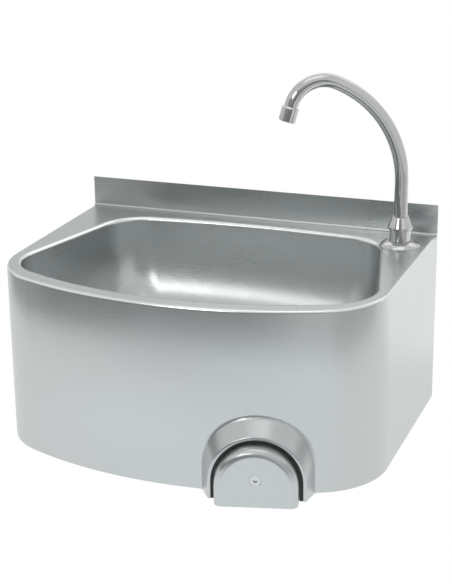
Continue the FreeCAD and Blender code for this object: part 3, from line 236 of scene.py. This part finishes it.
def makeFloor():
    bm = bmesh.new()
    bmesh.ops.create_grid(bm, x_segments=1, y_segments=1, size=studio["floorHalf"])
    bmesh.ops.translate(bm, verts=bm.verts, vec=(0, 0, studio["floorHeight"]))
    material, tree, shader = startMaterial("floorPaint")
    feed(tree, shader, {"Base Color": grey(studio["floorTone"]), "Roughness": studio["floorRough"]})
    glow = addNode(tree, "Emission", {"Color": white})
    mix = addNode(tree, "MixShader", {"Fac": raySeen(tree), 1: shader.outputs[0],
                                      2: glow.outputs[0]})
    feed(tree, tree.nodes["Material Output"], {"Surface": mix.outputs[0]})
    floor = addMesh("floor", bm, material)


def hangCard(name, bm, colour):
    # a card is seen only in reflections
    material, tree, shader = startMaterial(name)
    tree.nodes.remove(shader)
    glow = addNode(tree, "Emission", {"Color": colour})
    feed(tree, tree.nodes["Material Output"], {"Surface": glow.outputs[0]})
    card = addMesh(name, bm, material)
    card.visible_camera = False
    card.visible_diffuse = False
    card.visible_shadow = False
    card.visible_transmission = False


def makeCards():
    for name, middle, facing, roll, wide, high, colour in studio["cards"]:
        turn = (Vector(facing) - Vector(middle)).to_track_quat("Z", "Y").to_matrix().to_4x4()
        turn = turn @ Matrix.Rotation(math.radians(roll), 4, "Z")
        bm = bmesh.new()
        bmesh.ops.create_grid(bm, x_segments=1, y_segments=1, size=0.5)
        bmesh.ops.scale(bm, verts=bm.verts, vec=(wide, high, 1))
        bmesh.ops.transform(bm, verts=bm.verts, matrix=Matrix.Translation(middle) @ turn)
        hangCard(name, bm, colour)
    centre = Vector((*studio["bendCentre"], 0))
    ahead = Vector((0, -studio["bendRadius"], 0))
    for name, first, last, low, high, colour in studio["bentCards"]:
        bm = bmesh.new()
        start = centre + Matrix.Rotation(math.radians(first), 3, "Z") @ ahead
        ends = [bm.verts.new(start + Vector((0, 0, height))) for height in (low, high)]
        edge = bm.edges.new(ends)
        bmesh.ops.spin(bm, geom=[*ends, edge], cent=centre, axis=(0, 0, 1),
                       angle=math.radians(last - first), steps=studio["bendSteps"],
                       use_merge=False, use_duplicate=False)
        hangCard(name, bm, colour)
    print("reflection cards:", len(studio["cards"]) + len(studio["bentCards"]))


def makeLamps():
    # the lamps light only what isn't metal, because reflections leave them out
    for name, place, target, wide, high, watts in studio["lamps"]:
        data = bpy.data.lights.new(name, "AREA")
        data.shape = "RECTANGLE"
        data.size = wide
        data.size_y = high
        data.energy = watts
        lamp = bpy.data.objects.new(name, data)
        away = Vector(place) - Vector(target)
        lamp.location = place
        lamp.visible_camera = False
        lamp.visible_glossy = False
        lamp.rotation_euler = away.to_track_quat("Z", "Y").to_euler()
        bpy.context.collection.objects.link(lamp)
    print("studio lit")


satin = {
    "dark": (0.536, 0.560, 0.560),
    "light": (0.572, 0.597, 0.597),
    "rough": (0.25, 0.33),
    "anisotropic": 0.45,
    "cloudScale": 9.0,
    "cloudDetail": 3.0,
    "cloudShare": 0.65,  # the grain gives the rest of the change in tone
    "grainPitch": 1500.0,
    "grainRun": 14.0,
    "grainDetail": 2.0,
    "grainHeight": 0.000002,
    "grainStrength": 0.35,
    "levelFrom": (0.55, 0.8),  # the normal's Z where the wall's grain gives way to the deck's
    "paintedHighlight": (0.86, 0.88, 0.88),  # painted highlight: a lighter colour along the rounded folds and lips
    "paintedHighlightRough": 0.16,
    "paintedHighlightFold": ((0.2, 0.5), (0.97, 0.8)),  # the normal's Z, where the painted highlight starts and ends
    "paintedHighlightHeight": (0.1105, 0.1135),  # only the edges of the deck get the painted highlight
    "paintedHighlightDepth": (-0.014, -0.024),  # the bend under the splashback doesn't get it
}


def satinSteel():
    material, tree, shader = startMaterial("satinSteel")
    where = addNode(tree, "TexCoord")
    facing = addNode(tree, "SeparateXYZ", {0: where.outputs["Normal"]}).outputs["Z"]
    place = addNode(tree, "SeparateXYZ", {0: where.outputs["Object"]})
    cloud = objectNoise(tree, (1, 1, 1), satin["cloudScale"], satin["cloudDetail"])
    run, pitch = satin["grainRun"], satin["grainPitch"]
    wallGrain, deckGrain = (objectNoise(tree, stretch, 1.0, satin["grainDetail"])
                            for stretch in ((run, run, pitch), (run, pitch, run)))
    level = ramped(tree, calc(tree, "ABSOLUTE", facing), *satin["levelFrom"])
    grain = mixValues(tree, level, wallGrain, deckGrain)
    streaks = calc(tree, "ADD", calc(tree, "MULTIPLY", cloud, satin["cloudShare"]),
                   calc(tree, "MULTIPLY", grain, 1 - satin["cloudShare"]))
    # painted highlight along the folds and lips: a lighter base colour there, with lower roughness
    starts, ends = (ramped(tree, facing, *limits) for limits in satin["paintedHighlightFold"])
    high = ramped(tree, place.outputs["Z"], *satin["paintedHighlightHeight"])
    clear = ramped(tree, place.outputs["Y"], *satin["paintedHighlightDepth"])
    paintedHighlight = calc(tree, "MULTIPLY", calc(tree, "MULTIPLY", starts, ends),
                  calc(tree, "MULTIPLY", high, clear))
    tangent = addNode(tree, "Tangent", direction_type="RADIAL", axis="Z")
    bump = addNode(tree, "Bump", {"Strength": satin["grainStrength"],
                                  "Distance": satin["grainHeight"], "Height": grain})
    feed(tree, shader, {
        "Base Color": mixColours(tree, paintedHighlight, tint(tree, streaks, satin["dark"], satin["light"]),
                                 satin["paintedHighlight"]),
        "Roughness": mixValues(tree, paintedHighlight, spread(tree, streaks, *satin["rough"]),
                               satin["paintedHighlightRough"]),
        "Metallic": 1.0,
        "Anisotropic": satin["anisotropic"],
        "Tangent": tangent.outputs[0],
        "Normal": bump.outputs[0],
    })
    return material


finishes = {
    "metal": {"metallic": 1.0, "cloudScale": 60.0, "cloudDetail": 3.0, "roughRange": (0.8, 1.25)},
    "plastic": {"metallic": 0.0, "cloudScale": 140.0, "cloudDetail": 4.0,
                "roughRange": (0.85, 1.15)},
    "slots": {  # finish, name, dark, light, roughness
        "stainless_plate": ("metal", "millSteel", (0.44, 0.45, 0.45), (0.52, 0.53, 0.53), 0.34),
        "stainless_bright": ("metal", "turnedSteel", (0.58, 0.59, 0.59), (0.66, 0.67, 0.67), 0.2),
        "chrome": ("metal", "chromePlate", (0.57, 0.575, 0.58), (0.60, 0.605, 0.61), 0.06),
        "brass": ("metal", "turnedBrass", (0.62, 0.46, 0.22), (0.72, 0.55, 0.28), 0.25),
        "nickel_brass": ("metal", "nickelPlate", (0.58, 0.55, 0.48), (0.66, 0.63, 0.56), 0.2),
        "crimped_steel": ("metal", "crimpSleeve", (0.60, 0.61, 0.61), (0.68, 0.69, 0.69), 0.22),
        "braided_steel": ("metal", "braid", (0.40, 0.41, 0.41), (0.55, 0.56, 0.56), 0.3),
        "spring_steel": ("metal", "springWire", (0.36, 0.36, 0.35), (0.46, 0.46, 0.45), 0.3),
        "black_rubber": ("plastic", "blackRubber", (0.02, 0.02, 0.02), (0.035, 0.035, 0.035), 0.6),
        "grey_plastic": ("plastic", "whitePolypropylene", (0.72, 0.72, 0.70), (0.78, 0.78, 0.76),
                         0.45),
        "white_plastic": ("plastic", "acetal", (0.80, 0.80, 0.78), (0.86, 0.86, 0.84), 0.4),
        "black_plastic": ("plastic", "knobPlastic", (0.035, 0.035, 0.04), (0.055, 0.055, 0.06),
                          0.42),
    },
}


def plainFinish(kind, name, dark, light, rough):
    finish = finishes[kind]
    material, tree, shader = startMaterial(name)
    cloud = objectNoise(tree, (1, 1, 1), finish["cloudScale"], finish["cloudDetail"])
    low, high = finish["roughRange"]
    feed(tree, shader, {
        "Base Color": tint(tree, cloud, dark, light),
        "Roughness": spread(tree, cloud, rough * low, rough * high),
        "Metallic": finish["metallic"],
    })
    return material


def makeMaterials():
    made = {"stainless_satin": satinSteel()}
    for slotName, values in finishes["slots"].items():
        made[slotName] = plainFinish(*values)
    print("materials made:", len(made))
    return made


def dressNodes(materials):
    for subpart in frame["record"]["subparts"]:
        node = frame["nodes"][subpart["node"]]
        node.data.materials.clear()
        node.data.materials.append(materials[subpart["material_slot"]])


def finishPiece(name, bm, body, material, smooth=True):
    piece = addMesh(name, bm, material)
    if smooth:
        piece.data.shade_smooth()
    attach(piece, body)
    return piece


hoses = {
    "diameter": 0.012,
    "strands": 14,  # flat bundles of wire each way round
    "wires": 4,  # wires in a bundle
    "shift": 1000.0,  # keeps the count of left-hand bundles above 0
    "wireShare": 0.45,  # the bundle's hump gives the rest of the height
    # the braid is darker in the hollows between wires and where a bundle passes under another:
    # painted shade
    "braidHollowShade": (0.16, 0.16, 0.165),
    "braidLight": (0.66, 0.67, 0.67),
    "braidRough": 0.28,
    "braidStrength": 0.8,
    "braidHeight": 0.0004,
    "stepsPerSpan": 12,
    "roundness": 5,
    "runs": {  # node, length and points in mm, with a point for the run inside each ferrule
        "feed": ("feed_hose", 0.168, (
            (92.36, -246.46, -79.5), (88.68, -231.92, -79.5), (83.41, -211.08, -79.5),
            (108.0, -121.0, -67.5), (108.0, -99.0, -67.5), (108.0, -82.5, -67.5))),
        "spout": ("spout_hose", 0.353, (
            (147.63, -279.41, -79.5), (163.14, -275.48, -79.5), (188.83, -268.98, -79.5),
            (214.0, -225.0, -79.5), (214.0, -140.0, -79.5), (214.0, -83.0, -52.5),
            (214.0, -60.0, -6.5), (214.0, -60.0, 43.0), (214.0, -60.0, 60.0))),
    },
}


def braidedSteel(name, turns):
    # flat bundles cross over and under; the UV runs along and round the hose
    material, tree, shader = startMaterial(name)
    where = addNode(tree, "TexCoord")
    place = addNode(tree, "SeparateXYZ", {0: where.outputs["UV"]})
    around = calc(tree, "MULTIPLY", place.outputs["Y"], hoses["strands"])
    forward = calc(tree, "MULTIPLY", place.outputs["X"], turns)
    rightHand = calc(tree, "ADD", around, forward)
    leftHand = calc(tree, "ADD", calc(tree, "SUBTRACT", around, forward), hoses["shift"])
    bundles = calc(tree, "ADD", calc(tree, "FLOOR", rightHand), calc(tree, "FLOOR", leftHand))
    over = calc(tree, "MODULO", bundles, 2.0)
    across = mixValues(tree, over, rightHand, leftHand)
    along = mixValues(tree, over, leftHand, rightHand)
    phase = calc(tree, "MULTIPLY", across, math.pi * hoses["wires"])
    wires = calc(tree, "ABSOLUTE", calc(tree, "SINE", phase))
    hump = calc(tree, "SINE", calc(tree, "MULTIPLY", calc(tree, "FRACT", along), math.pi))
    height = calc(tree, "ADD", calc(tree, "MULTIPLY", wires, hoses["wireShare"]),
                  calc(tree, "MULTIPLY", hump, 1 - hoses["wireShare"]))
    bump = addNode(tree, "Bump", {"Strength": hoses["braidStrength"],
                                  "Distance": hoses["braidHeight"], "Height": height})
    feed(tree, shader, {
        # painted shade: the colour darkens with the low parts of the weave
        "Base Color": tint(tree, height, hoses["braidHollowShade"], hoses["braidLight"]),
        "Roughness": hoses["braidRough"],
        "Metallic": 1.0,
        "Normal": bump.outputs[0],
    })
    return material


def makeHose(kind, node, points, material):
    data = bpy.data.curves.new(kind + "Hose", "CURVE")
    data.dimensions = "3D"
    spline = data.splines.new("NURBS")
    spline.points.add(len(points) - 1)
    for control, point in zip(spline.points, points):
        control.co = (*(Vector(point) * millimetre), 1)
    spline.order_u = 3
    spline.use_endpoint_u = True
    data.resolution_u = hoses["stepsPerSpan"]
    data.bevel_depth = hoses["diameter"] / 2
    data.bevel_resolution = hoses["roundness"]
    data.use_fill_caps = True
    data.materials.append(material)
    hose = bpy.data.objects.new(kind + "HoseBraid", data)
    bpy.context.collection.objects.link(hose)
    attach(hose, "basin")
    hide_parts(node)


def makeHoses():
    for kind, (node, length, points) in hoses["runs"].items():
        turns = length / (math.pi * hoses["diameter"]) * hoses["strands"]
        makeHose(kind, node, points, braidedSteel(kind + "Braid", turns))
    print("braided hoses made")


spring = {
    "start": (0.117993, -0.347762, -0.0795),  # against the gland
    "end": (0.129522, -0.393326, -0.0795),  # against the pad's carrier
    "wire": 0.0018,
    "diameter": 0.022,
    "closedTurns": 1,  # at each end
    "openTurns": 5,
    "stepsPerTurn": 28,
    "wireFacets": 10,
    "pressed": 0.012,  # how far the pad goes in
}


def makeSpring(material):
    start, end = Vector(spring["start"]), Vector(spring["end"])
    wire, steps = spring["wire"], spring["stepsPerTurn"]
    length = (end - start).length
    openPitch = (length - wire - 2 * spring["closedTurns"] * wire) / spring["openTurns"]
    bm = bmesh.new()
    ring = bmesh.ops.create_circle(bm, segments=spring["wireFacets"], radius=wire / 2)["verts"]
    bmesh.ops.rotate(bm, verts=ring, cent=(0, 0, 0), matrix=Matrix.Rotation(math.pi / 2, 3, "X"))
    bmesh.ops.translate(bm, verts=ring, vec=((spring["diameter"] - wire) / 2, 0, wire / 2))
    tip = [*ring, *bm.edges[:]]
    closed = (spring["closedTurns"], wire)
    for turns, pitch in (closed, (spring["openTurns"], openPitch), closed):
        tip = bmesh.ops.spin(bm, geom=tip, cent=(0, 0, 0), axis=(0, 0, 1),
                             dvec=(0, 0, pitch / steps), angle=2 * math.pi * turns,
                             steps=steps * turns, use_merge=False,
                             use_duplicate=False)["geom_last"]
    bmesh.ops.holes_fill(bm, edges=bm.edges[:], sides=spring["wireFacets"])
    bmesh.ops.recalc_face_normals(bm, faces=bm.faces[:])
    turn = (end - start).to_track_quat("Z", "Y").to_matrix().to_4x4()
    bmesh.ops.transform(bm, verts=bm.verts[:], matrix=Matrix.Translation(start) @ turn)
    coil = finishPiece("springCoil", bm, "basin", material)
    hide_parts("return_spring")
    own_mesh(coil)
    print("return spring made")


threads = {
    "proud": 0.00022,
    "sunk": 0.0001,
    "crest": (0.42, 0.58),  # where the crest starts and ends, as shares of the pitch
    "stepsPerTurn": 32,
    "runs": {  # centre, bottom, top, radius, pitch, material slot
        "wasteThread": ((0.0, -0.190), -0.0970, -0.0490, 0.0239, 0.0023, "grey_plastic"),
        "hotInletThread": ((0.052, -0.040), -0.0950, -0.0835, 0.010478, 0.0018, "nickel_brass"),
        "coldInletThread": ((0.164, -0.040), -0.0950, -0.0835, 0.010478, 0.0018, "nickel_brass"),
        "tapShankThread": ((0.214, -0.060), 0.0790, 0.1035, 0.010478, 0.0018, "chrome"),
    },
}


def makeThreads(materials):
    steps = threads["stepsPerTurn"]
    rise, fall = threads["crest"]
    for name, (centre, bottom, top, radius, pitch, slotName) in threads["runs"].items():
        turns = (top - bottom) / pitch - 1
        count = int(turns * steps)
        inner, outer = radius - threads["sunk"], radius + threads["proud"]
        bm = bmesh.new()
        corners = [bm.verts.new((reach, 0, bottom + pitch * share))
                   for reach, share in ((inner, 0), (outer, rise), (outer, fall), (inner, 1))]
        edges = [bm.edges.new(pair) for pair in zip(corners, corners[1:] + corners[:1])]
        bmesh.ops.spin(bm, geom=[*corners, *edges], cent=(0, 0, 0), axis=(0, 0, 1),
                       dvec=(0, 0, pitch / steps), angle=2 * math.pi * count / steps,
                       steps=count, use_merge=False, use_duplicate=False)
        bmesh.ops.holes_fill(bm, edges=bm.edges[:], sides=len(corners))
        bmesh.ops.recalc_face_normals(bm, faces=bm.faces[:])
        bmesh.ops.translate(bm, verts=bm.verts[:], vec=(*centre, 0))
        finishPiece(name, bm, "basin", materials[slotName], smooth=False)
    print("threads cut:", len(threads["runs"]))


knob = {
    "centre": (0.108, -0.040),
    "segments": 120,
    "flutes": 10,
    "rows": [  # height, radius, depth of the flutes
        (-0.0905, 0.0165, 0.0), (-0.0912, 0.0176, 0.0), (-0.0920, 0.0180, 0.0),
        (-0.0950, 0.0180, 0.0), (-0.0958, 0.0177, 0.0002), (-0.0966, 0.0170, 0.0010),
        (-0.0985, 0.0168, 0.0016), (-0.1020, 0.0166, 0.0017), (-0.1050, 0.0164, 0.0016),
        (-0.1066, 0.0159, 0.0013), (-0.1077, 0.0150, 0.0008), (-0.1083, 0.0138, 0.0003),
        (-0.1085, 0.0122, 0.0), (-0.1085, 0.0064, 0.0), (-0.1082, 0.0061, 0.0),
        (-0.1060, 0.0060, 0.0),
    ],
    "pointer": {
        "length": 0.0105,
        "width": 0.0016,
        "height": 0.0007,
        "bevel": 0.35,  # as a share of the height
        "bevelSegments": 2,
        "reach": 0.0115,
        "face": -0.1085,
    },
}


def makeKnob(plastic, paint):
    bm = bmesh.new()
    height, radius = knob["rows"][0][:2]
    ring = bmesh.ops.create_circle(bm, segments=knob["segments"], radius=radius)["verts"]
    bmesh.ops.translate(bm, verts=ring, vec=(0, 0, height))
    edges = bm.edges[:]
    for height, radius, depth in knob["rows"][1:]:
        grown = bmesh.ops.extrude_edge_only(bm, edges=edges)["geom"]
        edges = [item for item in grown if isinstance(item, bmesh.types.BMEdge)]
        for vert in (item for item in grown if isinstance(item, bmesh.types.BMVert)):
            angle = math.atan2(vert.co.y, vert.co.x)
            hollow = (0.5 + 0.5 * math.cos(knob["flutes"] * angle)) ** 2
            reach = radius - depth * hollow
            vert.co = (reach * math.cos(angle), reach * math.sin(angle), height)
    bmesh.ops.holes_fill(bm, edges=bm.edges[:], sides=0)
    bmesh.ops.recalc_face_normals(bm, faces=bm.faces[:])
    bmesh.ops.translate(bm, verts=bm.verts[:], vec=(*knob["centre"], 0))
    grip = finishPiece("knobGrip", bm, "temperature_control", plastic)
    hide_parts("temperature_knob")
    mark = knob["pointer"]
    bm = bmesh.new()
    bmesh.ops.create_cube(bm, size=1)
    bmesh.ops.scale(bm, verts=bm.verts, vec=(mark["width"], mark["length"], mark["height"]))
    bmesh.ops.bevel(bm, geom=bm.edges[:], offset=mark["height"] * mark["bevel"],
                    offset_type="OFFSET", affect="EDGES", segments=mark["bevelSegments"],
                    profile=0.5, material=-1)
    centreX, centreY = knob["centre"]
    bmesh.ops.translate(bm, verts=bm.verts, vec=(centreX, centreY - mark["reach"], mark["face"]))
    finishPiece("knobPointer", bm, "temperature_control", paint)
    print("temperature knob made")


screen = {
    "top": (0.088077, -0.132702, 0.307928),  # upper end of the aerator's housing
    "down": (-0.238708, -0.137798, -0.961262),
    "depth": 0.0118,
    "radius": 0.0077,
    "cells": 18,
    "wire": 0.00028,
}


def makeScreen(material):
    down, radius, cells = Vector(screen["down"]), screen["radius"], screen["cells"]
    bm = bmesh.new()
    bmesh.ops.create_grid(bm, x_segments=cells, y_segments=cells, size=radius)
    outside = [vert for vert in bm.verts if vert.co.length > radius]
    bmesh.ops.delete(bm, geom=outside, context="VERTS")
    bmesh.ops.wireframe(bm, faces=bm.faces[:], thickness=screen["wire"], use_replace=True,
                        use_boundary=True, use_even_offset=True)
    turn = down.to_track_quat("Z", "Y").to_matrix().to_4x4()
    place = Vector(screen["top"]) + down * screen["depth"]
    bmesh.ops.transform(bm, verts=bm.verts[:], matrix=Matrix.Translation(place) @ turn)
    finishPiece("aeratorScreen", bm, "spout", material, smooth=False)
    print("aerator screen made")


bpy.context.scene.view_settings.view_transform = "Standard"
makeCamera()
makeWorld()
makeFloor()
makeCards()
makeLamps()
materials = makeMaterials()
dressNodes(materials)
makeHoses()
makeSpring(materials["spring_steel"])
makeThreads(materials)
makeKnob(materials["black_plastic"], materials["white_plastic"])
makeScreen(materials["stainless_bright"])
